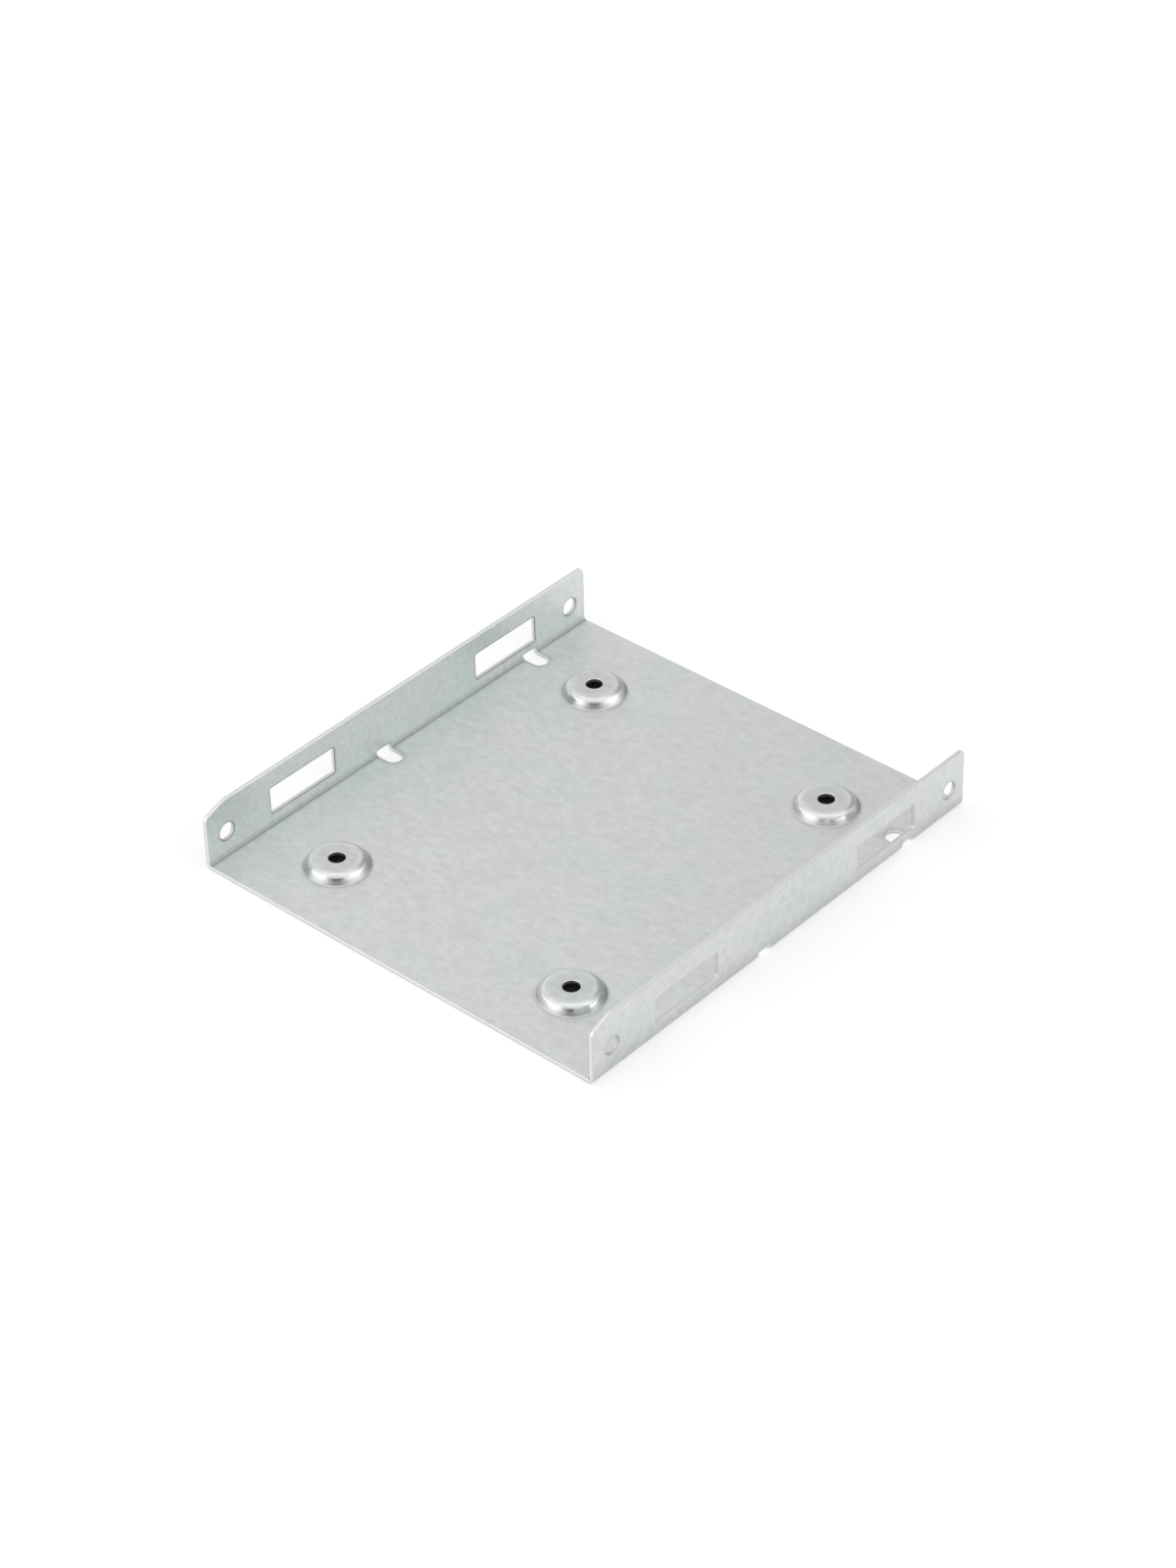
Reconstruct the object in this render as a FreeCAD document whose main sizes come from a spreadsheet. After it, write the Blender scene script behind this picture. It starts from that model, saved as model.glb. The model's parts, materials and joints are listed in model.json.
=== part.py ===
import FreeCAD, Part
import math
import os
import Sketcher

# Folded sheet steel tray that carries a small drive inside a wider drive bay.
# X runs from the left flange to the right flange, Y from front to rear, Z up.
# The tray is drawn from its front edge, and its placement then puts the centre
# of the footprint on the origin, with the underside of the floor on Z = 0.

os.makedirs("parts", exist_ok=True)
doc = FreeCAD.newDocument("drive_bay_adapter_bracket")
body = doc.addObject("PartDesign::Body", "bracket")
body.Label = "bracket"


# Driving dimensions, in millimetres and degrees

sheet = doc.addObject("Spreadsheet::Sheet", "sizes")
aliases = []


def dimension(alias, number, note):
    """Write one named driving size on the next row of the spreadsheet."""
    aliases.append(alias)
    row = str(len(aliases))
    sheet.set("A" + row, note)
    sheet.set("B" + row, str(number))
    sheet.setAlias("B" + row, alias)


dimension("tray_width", 101.6, "across the outer faces of the two flanges")
dimension("flange_height", 14.0, "underside of the floor to the top edge")
dimension("sheet_thickness", 0.8, "zinc coated steel sheet")
dimension("inner_bend_radius", 0.6, "inside of the two long bends")

dimension("side_hole_width", 3.9, "clearance hole for a side screw")
dimension("side_hole_height", 6.35, "side hole centre above the underside")
dimension("side_hole_front_margin", 5.4, "front edge to the front side hole")
dimension("side_hole_spacing", 101.6, "front side hole to rear side hole")
dimension("side_hole_rear_margin", 4.7, "rear side hole to the rear edge")

dimension("front_corner_run", 5.0, "slanted front corner, along the top edge")
dimension("front_corner_drop", 1.9, "slanted front corner, down the front edge")
dimension("front_lower_round", 1.5, "rounding where the slant meets the front edge")
dimension("front_upper_round", 4.0, "rounding where the slant meets the top edge")
dimension("rear_corner_round", 1.5, "rounding of the rear top corner")

dimension("window_length", 18.2, "window in the flange, front to rear")
dimension("window_height", 6.15, "window in the flange, bottom to top")
dimension("window_corner_round", 0.5, "corner rounding of the window")
dimension("window_centre_height", 6.6, "window centre above the underside")
dimension("window_front_inset", 21.35, "front side hole to the centre of the front window")
dimension("window_rear_inset", 20.15, "centre of the rear window to the rear side hole")

dimension("bend_slot_width", 3.8, "slot across the bend, front to rear")
dimension("bend_slot_side_margin", 3.6, "outer face to the centre of the round slot end")
dimension("bend_slot_top", 1.8, "square slot end in the flange, above the underside")
dimension("bend_slot_rear_inset", 12.8, "rear bend slot to the rear side hole")
dimension("bend_slot_spacing", 44.45, "middle bend slot to the rear bend slot")

dimension("boss_spacing_across", 61.72, "raised bosses, left to right")
dimension("boss_spacing_along", 76.6, "raised bosses, front to rear")
dimension("boss_pattern_lead", 1.07, "middle of the bosses ahead of the middle of the tray")
dimension("boss_height", 2.0, "flat top above the floor")
dimension("boss_flat_width", 9.5, "flat top across")
dimension("boss_wall_draft", 30.0, "lean of the drawn wall, in degrees")
dimension("boss_shoulder_round", 1.5, "outside rounding between flat top and wall")
dimension("boss_foot_round", 0.4, "blend between wall and floor")
dimension("boss_hole_width", 3.55, "screw hole in the flat top")
dimension("boss_hole_rim_bevel", 0.25, "bevelled edge at the top of the screw hole")
doc.recompute()

TRAY_LENGTH = "(sizes.side_hole_front_margin + sizes.side_hole_spacing + sizes.side_hole_rear_margin)"


def value(expression):
    """Work out an expression of driving sizes as a plain number."""
    return float(body.evalExpression(expression))


# Sketch helpers: a sketch starts at its solution, and its dimensions follow the driving sizes

START, END, CENTRE = range(1, 4)
ORIGIN, VERTICAL_AXIS = range(-1, -3, -1)


def origin_feature(role):
    """Return the origin plane or axis of the body that has this role."""
    for feature in body.Origin.OriginFeatures:
        if feature.Role == role:
            return feature
    raise RuntimeError("no origin feature " + role)


def plane_sketch(name, role):
    """Start a sketch that lies flat on one origin plane of the body."""
    sketch = body.newObject("Sketcher::SketchObject", name)
    sketch.AttachmentSupport = [(origin_feature(role), "")]
    sketch.MapMode = "FlatFace"
    return sketch


def point(x, y):
    """Return a sketch point."""
    return FreeCAD.Vector(x, y, 0)


def add_line(sketch, x0, y0, x1, y1):
    """Add a straight edge and return its number."""
    return sketch.addGeometry(Part.LineSegment(point(x0, y0), point(x1, y1)), False)


def add_circle(sketch, x, y, radius):
    """Add a full circle and return its number."""
    circle = Part.Circle(point(x, y), FreeCAD.Vector(0, 0, 1), radius)
    return sketch.addGeometry(circle, False)


def add_arc(sketch, x, y, radius, start, end, construction=False):
    """Add an arc that turns anticlockwise from start to end, in degrees, and return its number."""
    circle = Part.Circle(point(x, y), FreeCAD.Vector(0, 0, 1), radius)
    arc = Part.ArcOfCircle(circle, math.radians(start), math.radians(end))
    return sketch.addGeometry(arc, construction)


def constrain(sketch, *arguments):
    """Add one geometric constraint and return its number."""
    return sketch.addConstraint(Sketcher.Constraint(*arguments))


def drive(sketch, name, expression, *arguments):
    """Add one dimension and bind it to an expression of driving sizes."""
    number = constrain(sketch, *arguments, value(expression))
    sketch.renameConstraint(number, name)
    sketch.setExpression("Constraints." + name, expression)


# Channel section: floor, two bends and two upright flanges

thick = value("sizes.sheet_thickness")
inner = value("sizes.inner_bend_radius")
outer = inner + thick
side = value("sizes.tray_width / 2")
bend = side - outer
height = value("sizes.flange_height")

section = plane_sketch("channel_section", "XZ_Plane")
underside = add_line(section, -bend, 0, bend, 0)
right_outer_bend = add_arc(section, bend, outer, outer, 270, 360)
right_outer = add_line(section, side, outer, side, height)
right_top = add_line(section, side, height, side - thick, height)
right_inner = add_line(section, side - thick, height, side - thick, outer)
right_inner_bend = add_arc(section, bend, outer, inner, 270, 360)
floor_top = add_line(section, bend, thick, -bend, thick)
left_inner_bend = add_arc(section, -bend, outer, inner, 180, 270)
left_inner = add_line(section, thick - side, outer, thick - side, height)
left_top = add_line(section, thick - side, height, -side, height)
left_outer = add_line(section, -side, height, -side, outer)
left_outer_bend = add_arc(section, -bend, outer, outer, 180, 270)

constrain(section, "Tangent", underside, END, right_outer_bend, START)
constrain(section, "Tangent", right_outer_bend, END, right_outer, START)
constrain(section, "Coincident", right_outer, END, right_top, START)
constrain(section, "Coincident", right_top, END, right_inner, START)
constrain(section, "Tangent", right_inner, END, right_inner_bend, END)
constrain(section, "Tangent", right_inner_bend, START, floor_top, START)
constrain(section, "Tangent", floor_top, END, left_inner_bend, END)
constrain(section, "Tangent", left_inner_bend, START, left_inner, START)
constrain(section, "Coincident", left_inner, END, left_top, START)
constrain(section, "Coincident", left_top, END, left_outer, START)
constrain(section, "Tangent", left_outer, END, left_outer_bend, START)
constrain(section, "Tangent", left_outer_bend, END, underside, START)
constrain(section, "Coincident", right_outer_bend, CENTRE, right_inner_bend, CENTRE)
constrain(section, "Coincident", left_outer_bend, CENTRE, left_inner_bend, CENTRE)
constrain(section, "Horizontal", underside)
constrain(section, "Vertical", right_outer)
constrain(section, "Vertical", right_inner)
constrain(section, "Horizontal", floor_top)
constrain(section, "Horizontal", right_top)
constrain(section, "Horizontal", left_top)
constrain(section, "Vertical", left_outer)
constrain(section, "Symmetric", underside, START, underside, END, ORIGIN, START)
constrain(section, "Symmetric", left_top, END, right_top, START, VERTICAL_AXIS)
constrain(section, "Equal", right_top, left_top)
drive(section, "width", "sizes.tray_width", "DistanceX", left_top, END, right_top, START)
drive(section, "height", "sizes.flange_height", "DistanceY", ORIGIN, START, right_outer, END)
drive(section, "thickness", "sizes.sheet_thickness", "DistanceX", right_top, END, right_top, START)
drive(section, "inner_bend", "sizes.inner_bend_radius", "Radius", right_inner_bend)

channel = body.newObject("PartDesign::Pad", "channel")
channel.Profile = section
channel.Reversed = True
channel.setExpression("Length", TRAY_LENGTH)
doc.recompute()


# Side view cuts: in a side view sketch x is Y of the tray and y is its Z

def cut_both_flanges(name, sketch):
    """Cut the outline of a side view sketch through the left and the right flange."""
    cut = body.newObject("PartDesign::Pocket", name)
    cut.Profile = sketch
    cut.Midplane = True
    cut.setExpression("Length", "sizes.tray_width * 2")
    doc.recompute()
    return cut


def corner_edges(shape, y, z):
    """Return the names of the edges that run across the sheet at this side view point."""
    names = []
    for number, edge in enumerate(shape.Edges, 1):
        middle = edge.valueAt((edge.FirstParameter + edge.LastParameter) / 2)
        on_corner = math.hypot(middle.y - y, middle.z - z) < thick / 100
        if on_corner and edge.Length < 2 * thick:
            names.append("Edge" + str(number))
    return names


def round_corners(name, alias, y, z):
    """Round the flange corners at this side view point, one in each flange."""
    sharp = body.Tip
    names = corner_edges(sharp.Shape, y, z)
    if len(names) != 2:
        raise RuntimeError(name + " found " + str(len(names)) + " edges")
    rounding = body.newObject("PartDesign::Fillet", name)
    rounding.Base = (sharp, names)
    rounding.setExpression("Radius", "sizes." + alias)
    doc.recompute()


# Slanted front top corner of both flanges, cut by an outline that stands clear of the sheet

length = value(TRAY_LENGTH)
run = value("sizes.front_corner_run")
slant_low = height - value("sizes.front_corner_drop")
clear = thick

slant_sketch = plane_sketch("front_corner_outline", "YZ_Plane")
slant = add_line(slant_sketch, 0, slant_low, run, height)
slant_rise = add_line(slant_sketch, run, height, run, height + clear)
slant_roof = add_line(slant_sketch, run, height + clear, -clear, height + clear)
slant_back = add_line(slant_sketch, -clear, height + clear, -clear, slant_low)
slant_sill = add_line(slant_sketch, -clear, slant_low, 0, slant_low)
constrain(slant_sketch, "Coincident", slant, END, slant_rise, START)
constrain(slant_sketch, "Coincident", slant_rise, END, slant_roof, START)
constrain(slant_sketch, "Coincident", slant_roof, END, slant_back, START)
constrain(slant_sketch, "Coincident", slant_back, END, slant_sill, START)
constrain(slant_sketch, "Coincident", slant_sill, END, slant, START)
constrain(slant_sketch, "Vertical", slant_rise)
constrain(slant_sketch, "Horizontal", slant_roof)
constrain(slant_sketch, "Vertical", slant_back)
constrain(slant_sketch, "Horizontal", slant_sill)
constrain(slant_sketch, "PointOnObject", slant, START, VERTICAL_AXIS)
drive(slant_sketch, "run", "sizes.front_corner_run", "DistanceX", slant, START, slant, END)
drive(slant_sketch, "drop", "sizes.front_corner_drop", "DistanceY", slant, START, slant, END)
drive(slant_sketch, "top_edge", "sizes.flange_height", "DistanceY", ORIGIN, START, slant, END)
drive(slant_sketch, "clear_above", "sizes.sheet_thickness", "DistanceY", slant_rise, START, slant_rise, END)
drive(slant_sketch, "clear_ahead", "sizes.sheet_thickness", "DistanceX", slant_sill, START, slant_sill, END)
cut_both_flanges("front_corners", slant_sketch)

round_corners("front_lower_corners", "front_lower_round", 0, slant_low)
round_corners("front_upper_corners", "front_upper_round", run, height)
round_corners("rear_corners", "rear_corner_round", length, height)


# Side screw holes, a front one and a rear one in each flange

hole_sketch = plane_sketch("side_hole_outline", "YZ_Plane")
hole = add_circle(hole_sketch, value("sizes.side_hole_front_margin"), value("sizes.side_hole_height"),
                  value("sizes.side_hole_width / 2"))
drive(hole_sketch, "hole_width", "sizes.side_hole_width", "Diameter", hole)
drive(hole_sketch, "hole_height", "sizes.side_hole_height", "DistanceY", ORIGIN, START, hole, CENTRE)
drive(hole_sketch, "hole_place", "sizes.side_hole_front_margin", "DistanceX", ORIGIN, START, hole, CENTRE)
front_side_holes = cut_both_flanges("front_side_holes", hole_sketch)


def repeat_to_rear(name, feature, spacing):
    """Repeat a feature once towards the rear, at a spacing of driving sizes."""
    pattern = body.newObject("PartDesign::LinearPattern", name)
    pattern.Originals = [feature]
    pattern.Direction = (origin_feature("Y_Axis"), [""])
    pattern.Occurrences = 2
    pattern.setExpression("Length", spacing)
    body.Tip = pattern
    doc.recompute()


repeat_to_rear("rear_side_holes", front_side_holes, "sizes.side_hole_spacing")


# Windows with rounded corners, a front one and a rear one in each flange

WINDOW_PLACE = "sizes.side_hole_front_margin + sizes.window_front_inset"
WINDOW_SPACING = "sizes.side_hole_spacing - sizes.window_front_inset - sizes.window_rear_inset"

corner = value("sizes.window_corner_round")
window_front = value(WINDOW_PLACE + " - sizes.window_length / 2")
window_rear = value(WINDOW_PLACE + " + sizes.window_length / 2")
window_low = value("sizes.window_centre_height - sizes.window_height / 2")
window_high = value("sizes.window_centre_height + sizes.window_height / 2")
arc_front = window_front + corner
arc_rear = window_rear - corner
arc_low = window_low + corner
arc_high = window_high - corner

window_sketch = plane_sketch("window_outline", "YZ_Plane")
bottom = add_line(window_sketch, arc_front, window_low, arc_rear, window_low)
low_rear = add_arc(window_sketch, arc_rear, arc_low, corner, 270, 360)
rear_side = add_line(window_sketch, window_rear, arc_low, window_rear, arc_high)
high_rear = add_arc(window_sketch, arc_rear, arc_high, corner, 0, 90)
top = add_line(window_sketch, arc_rear, window_high, arc_front, window_high)
high_front = add_arc(window_sketch, arc_front, arc_high, corner, 90, 180)
front_side = add_line(window_sketch, window_front, arc_high, window_front, arc_low)
low_front = add_arc(window_sketch, arc_front, arc_low, corner, 180, 270)
window_centre = point(value(WINDOW_PLACE), value("sizes.window_centre_height"))
middle = window_sketch.addGeometry(Part.Point(window_centre), True)

outline = [bottom, low_rear, rear_side, high_rear, top, high_front, front_side, low_front]
for edge, following in zip(outline, outline[1:] + outline[:1]):
    constrain(window_sketch, "Tangent", edge, END, following, START)
constrain(window_sketch, "Horizontal", bottom)
constrain(window_sketch, "Horizontal", top)
constrain(window_sketch, "Vertical", front_side)
constrain(window_sketch, "Vertical", rear_side)
constrain(window_sketch, "Equal", low_rear, high_rear)
constrain(window_sketch, "Equal", low_rear, high_front)
constrain(window_sketch, "Equal", low_rear, low_front)
constrain(window_sketch, "Symmetric", low_front, CENTRE, high_rear, CENTRE, middle, START)
drive(window_sketch, "window_length", "sizes.window_length", "DistanceX", front_side, START, rear_side, START)
drive(window_sketch, "window_height", "sizes.window_height", "DistanceY", bottom, START, top, END)
drive(window_sketch, "corner_round", "sizes.window_corner_round", "Radius", low_rear)
drive(window_sketch, "centre_height", "sizes.window_centre_height", "DistanceY", ORIGIN, START, middle, START)
drive(window_sketch, "window_place", WINDOW_PLACE, "DistanceX", ORIGIN, START, middle, START)
front_windows = cut_both_flanges("front_windows", window_sketch)
repeat_to_rear("rear_windows", front_windows, WINDOW_SPACING)


# Slots across the bends: round end in the floor, square end low in the flange.
# In a plan sketch x and y are those of the tray.

BEND_SLOT_PLACE = ("sizes.side_hole_front_margin + sizes.side_hole_spacing"
                   " - sizes.bend_slot_rear_inset")
BEND_SLOT_CENTRE = "sizes.tray_width / 2 - sizes.bend_slot_side_margin"
BEND_SLOT_REACH = "sizes.tray_width / 2 + sizes.sheet_thickness"

slot_x = value(BEND_SLOT_CENTRE)
slot_y = value(BEND_SLOT_PLACE)
slot_out = value(BEND_SLOT_REACH)
slot_half = value("sizes.bend_slot_width / 2")

slot_sketch = plane_sketch("bend_slot_outline", "XY_Plane")
slot_front = add_line(slot_sketch, slot_x, slot_y - slot_half, slot_out, slot_y - slot_half)
slot_mouth = add_line(slot_sketch, slot_out, slot_y - slot_half, slot_out, slot_y + slot_half)
slot_rear = add_line(slot_sketch, slot_out, slot_y + slot_half, slot_x, slot_y + slot_half)
slot_end = add_arc(slot_sketch, slot_x, slot_y, slot_half, 90, 270)
constrain(slot_sketch, "Coincident", slot_front, END, slot_mouth, START)
constrain(slot_sketch, "Coincident", slot_mouth, END, slot_rear, START)
constrain(slot_sketch, "Tangent", slot_rear, END, slot_end, START)
constrain(slot_sketch, "Tangent", slot_end, END, slot_front, START)
constrain(slot_sketch, "Horizontal", slot_front)
constrain(slot_sketch, "Horizontal", slot_rear)
constrain(slot_sketch, "Vertical", slot_mouth)
drive(slot_sketch, "slot_width", "sizes.bend_slot_width", "DistanceY", slot_mouth, START, slot_mouth, END)
drive(slot_sketch, "slot_centre", BEND_SLOT_CENTRE, "DistanceX", ORIGIN, START, slot_end, CENTRE)
drive(slot_sketch, "slot_place", BEND_SLOT_PLACE, "DistanceY", ORIGIN, START, slot_end, CENTRE)
drive(slot_sketch, "slot_reach", BEND_SLOT_REACH, "DistanceX", ORIGIN, START, slot_mouth, START)

rear_bend_slot = body.newObject("PartDesign::Pocket", "rear_right_bend_slot")
rear_bend_slot.Profile = slot_sketch
rear_bend_slot.Reversed = True
rear_bend_slot.setExpression("Length", "sizes.bend_slot_top")
doc.recompute()


def mirror_and_repeat(name, features, spacing, to_front):
    """Mirror features to the other side and repeat both sides once along the tray."""
    transform = body.newObject("PartDesign::MultiTransform", name)
    transform.Originals = features
    mirror = doc.addObject("PartDesign::Mirrored", name + "_mirror")
    mirror.MirrorPlane = (origin_feature("YZ_Plane"), [""])
    step = doc.addObject("PartDesign::LinearPattern", name + "_step")
    step.Direction = (origin_feature("Y_Axis"), [""])
    step.Reversed = to_front
    step.Occurrences = 2
    step.setExpression("Length", spacing)
    body.Group = body.Group + [mirror, step]
    transform.Transformations = [mirror, step]
    body.Tip = transform
    doc.recompute()


mirror_and_repeat("bend_slots", [rear_bend_slot], "sizes.bend_slot_spacing", True)


# Section of a raised boss, drawn up from the floor with one sheet thickness all round.
# Its sketch stands on the axis of the front right boss: x is the radius and y the height.
# The outside runs flat, round the shoulder, down the leaning wall and out at the foot,
# and the inside follows it one sheet thickness below on the same centres. The foot and
# the two hidden bends are small: they are construction arcs, and the section takes their chords.

BOSS_X = "sizes.boss_spacing_across / 2"
BOSS_Y = TRAY_LENGTH + " / 2 - sizes.boss_pattern_lead - sizes.boss_spacing_along / 2"
BOSS_ROUNDS = "(sizes.boss_shoulder_round + sizes.boss_foot_round)"
WALL_DROP = "(sizes.boss_height - " + BOSS_ROUNDS + " * (1 - sin(sizes.boss_wall_draft)))"
BOSS_FOOT = ("(sizes.boss_flat_width / 2 + " + BOSS_ROUNDS + " * cos(sizes.boss_wall_draft) + "
             + WALL_DROP + " * tan(sizes.boss_wall_draft))")
BOSS_TOP = "(sizes.sheet_thickness + sizes.boss_height)"

draft = value("sizes.boss_wall_draft")
flat = value("sizes.boss_flat_width / 2")
foot = value(BOSS_FOOT)
boss_top = value(BOSS_TOP)
boss_under = value("sizes.boss_height")
shoulder = value("sizes.boss_shoulder_round")
shoulder_z = boss_top - shoulder
foot_round = value("sizes.boss_foot_round")
foot_z = thick + foot_round
bore_radius = value("sizes.boss_hole_width / 2")
rim = value("sizes.boss_hole_rim_bevel")


def on_circle(x, z, radius, angle):
    """Return the x and z of a circle's point at an angle in degrees."""
    return x + radius * math.cos(math.radians(angle)), z + radius * math.sin(math.radians(angle))


wall_high = on_circle(flat, shoulder_z, shoulder, draft)
wall_low = on_circle(foot, foot_z, foot_round, 180 + draft)
inner_high = on_circle(flat, shoulder_z, shoulder - thick, draft)
inner_low = on_circle(foot, foot_z, foot_round + thick, 180 + draft)

ring_sketch = plane_sketch("boss_ring_section", "XZ_Plane")
ring_sketch.setExpression("AttachmentOffset.Base.x", BOSS_X)
ring_sketch.setExpression("AttachmentOffset.Base.z", "-(" + BOSS_Y + ")")
bore = add_line(ring_sketch, bore_radius, boss_under, bore_radius, boss_top - rim)
rim_bevel = add_line(ring_sketch, bore_radius, boss_top - rim, bore_radius + rim, boss_top)
flat_top = add_line(ring_sketch, bore_radius + rim, boss_top, flat, boss_top)
shoulder_arc = add_arc(ring_sketch, flat, shoulder_z, shoulder, draft, 90)
outside_wall = add_line(ring_sketch, *wall_high, *wall_low)
foot_chord = add_line(ring_sketch, *wall_low, foot, thick)
foot_edge = add_line(ring_sketch, foot, thick, foot, 0)
foot_under_chord = add_line(ring_sketch, foot, 0, *inner_low)
inside_wall = add_line(ring_sketch, *inner_low, *inner_high)
shoulder_under_chord = add_line(ring_sketch, *inner_high, flat, boss_under)
flat_under = add_line(ring_sketch, flat, boss_under, bore_radius, boss_under)
foot_arc = add_arc(ring_sketch, foot, foot_z, foot_round, 180 + draft, 270, True)
foot_under_arc = add_arc(ring_sketch, foot, foot_z, foot_round + thick, 180 + draft, 270, True)
shoulder_under_arc = add_arc(ring_sketch, flat, shoulder_z, shoulder - thick, draft, 90, True)

constrain(ring_sketch, "Vertical", bore)
constrain(ring_sketch, "Coincident", bore, END, rim_bevel, START)
constrain(ring_sketch, "Coincident", rim_bevel, END, flat_top, START)
constrain(ring_sketch, "Horizontal", flat_top)
constrain(ring_sketch, "Tangent", flat_top, END, shoulder_arc, END)
constrain(ring_sketch, "Tangent", shoulder_arc, START, outside_wall, START)
constrain(ring_sketch, "Coincident", outside_wall, END, foot_chord, START)
constrain(ring_sketch, "Coincident", foot_chord, END, foot_edge, START)
constrain(ring_sketch, "Vertical", foot_edge)
constrain(ring_sketch, "Coincident", foot_edge, END, foot_under_chord, START)
constrain(ring_sketch, "Coincident", foot_under_chord, END, inside_wall, START)
constrain(ring_sketch, "Coincident", inside_wall, END, shoulder_under_chord, START)
constrain(ring_sketch, "Coincident", shoulder_under_chord, END, flat_under, START)
constrain(ring_sketch, "Horizontal", flat_under)
constrain(ring_sketch, "Coincident", flat_under, END, bore, START)
constrain(ring_sketch, "Tangent", outside_wall, END, foot_arc, START)
constrain(ring_sketch, "Coincident", foot_arc, END, foot_edge, START)
constrain(ring_sketch, "Vertical", foot_arc, CENTRE, foot_arc, END)
constrain(ring_sketch, "Coincident", foot_under_arc, CENTRE, foot_arc, CENTRE)
constrain(ring_sketch, "Coincident", foot_under_arc, END, foot_edge, END)
constrain(ring_sketch, "Tangent", foot_under_arc, START, inside_wall, START)
constrain(ring_sketch, "Tangent", inside_wall, END, shoulder_under_arc, START)
constrain(ring_sketch, "Coincident", shoulder_under_arc, CENTRE, shoulder_arc, CENTRE)
constrain(ring_sketch, "Coincident", shoulder_under_arc, END, flat_under, START)
constrain(ring_sketch, "Vertical", shoulder_under_arc, CENTRE, shoulder_under_arc, END)
drive(ring_sketch, "bore_radius", "sizes.boss_hole_width / 2", "DistanceX", ORIGIN, START, bore, START)
drive(ring_sketch, "rim_width", "sizes.boss_hole_rim_bevel", "DistanceX", rim_bevel, START, rim_bevel, END)
drive(ring_sketch, "rim_depth", "sizes.boss_hole_rim_bevel", "DistanceY", rim_bevel, START, rim_bevel, END)
drive(ring_sketch, "flat_radius", "sizes.boss_flat_width / 2", "DistanceX", ORIGIN, START, flat_top, END)
drive(ring_sketch, "top_height", BOSS_TOP, "DistanceY", ORIGIN, START, flat_top, END)
drive(ring_sketch, "shoulder_round", "sizes.boss_shoulder_round", "Radius", shoulder_arc)
drive(ring_sketch, "foot_round", "sizes.boss_foot_round", "Radius", foot_arc)
drive(ring_sketch, "foot_radius", BOSS_FOOT, "DistanceX", ORIGIN, START, foot_edge, START)
drive(ring_sketch, "floor_height", "sizes.sheet_thickness", "DistanceY", ORIGIN, START, foot_edge, START)
drive(ring_sketch, "foot_thickness", "sizes.sheet_thickness", "DistanceY", foot_edge, END, foot_edge, START)
drive(ring_sketch, "top_thickness", "sizes.sheet_thickness", "DistanceY", bore, START, flat_top, START)


# The floor is opened under each boss, and the ring of drawn sheet is turned into the opening

opening_sketch = plane_sketch("boss_opening_outline", "XY_Plane")
opening = add_circle(opening_sketch, value(BOSS_X), value(BOSS_Y), foot)
drive(opening_sketch, "opening_radius", BOSS_FOOT, "Radius", opening)
drive(opening_sketch, "opening_x", BOSS_X, "DistanceX", ORIGIN, START, opening, CENTRE)
drive(opening_sketch, "opening_y", BOSS_Y, "DistanceY", ORIGIN, START, opening, CENTRE)

boss_opening = body.newObject("PartDesign::Pocket", "boss_opening")
boss_opening.Profile = opening_sketch
boss_opening.Midplane = True
boss_opening.setExpression("Length", "sizes.sheet_thickness * 4")
doc.recompute()

boss_ring = body.newObject("PartDesign::Revolution", "boss_ring")
boss_ring.Profile = ring_sketch
boss_ring.ReferenceAxis = (ring_sketch, ["V_Axis"])
boss_ring.Angle = 360
doc.recompute()

mirror_and_repeat("bosses", [boss_opening, boss_ring], "sizes.boss_spacing_along", False)


# Placement, checks and export

body.setExpression(".Placement.Base.y", "-" + TRAY_LENGTH + " / 2")
doc.recompute()

for feature in doc.Objects:
    if "Invalid" in feature.State or "Error" in feature.State:
        raise RuntimeError(feature.Name + " did not compute")
    if feature.TypeId == "Sketcher::SketchObject" and not feature.FullyConstrained:
        raise RuntimeError(feature.Name + " is not fully constrained")

shape = body.Shape
if shape.isNull() or not shape.isValid() or len(shape.Solids) != 1:
    raise RuntimeError("the bracket is not one valid solid")
shape.exportStep("parts/" + body.Label + ".step")

box = shape.BoundBox
print("box", round(box.XLength, 3), round(box.YLength, 3), round(box.ZLength, 3))
print("centre", round(box.Center.x, 3), round(box.Center.y, 3), "foot radius", round(foot, 4))
print("volume", round(shape.Volume, 1), "faces", len(shape.Faces))
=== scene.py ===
import json
import math
import bpy
import numpy as np
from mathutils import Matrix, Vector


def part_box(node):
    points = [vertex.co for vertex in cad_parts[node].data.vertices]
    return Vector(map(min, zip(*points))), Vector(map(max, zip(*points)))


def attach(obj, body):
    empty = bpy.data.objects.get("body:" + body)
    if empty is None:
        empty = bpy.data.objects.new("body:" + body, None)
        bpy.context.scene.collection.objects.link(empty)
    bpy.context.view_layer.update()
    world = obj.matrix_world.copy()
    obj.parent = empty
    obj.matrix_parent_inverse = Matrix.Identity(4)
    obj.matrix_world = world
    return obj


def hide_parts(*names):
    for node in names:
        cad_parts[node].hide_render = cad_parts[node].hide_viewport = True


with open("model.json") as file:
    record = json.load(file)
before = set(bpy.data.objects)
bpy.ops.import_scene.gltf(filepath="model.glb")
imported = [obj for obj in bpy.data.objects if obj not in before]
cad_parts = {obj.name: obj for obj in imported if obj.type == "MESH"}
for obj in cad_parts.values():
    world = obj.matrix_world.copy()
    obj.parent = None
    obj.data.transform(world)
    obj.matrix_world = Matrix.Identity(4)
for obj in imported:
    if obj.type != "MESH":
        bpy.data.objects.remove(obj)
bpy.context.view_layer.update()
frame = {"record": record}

# Bracket, in millimetres. Its surface is worked out on the flat blank, which is then folded:
# u runs across the blank, v along it from front to rear, and the depth through the sheet
# from 0 on the outside, the underside of the floor, to SHEET on the inside.


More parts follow.
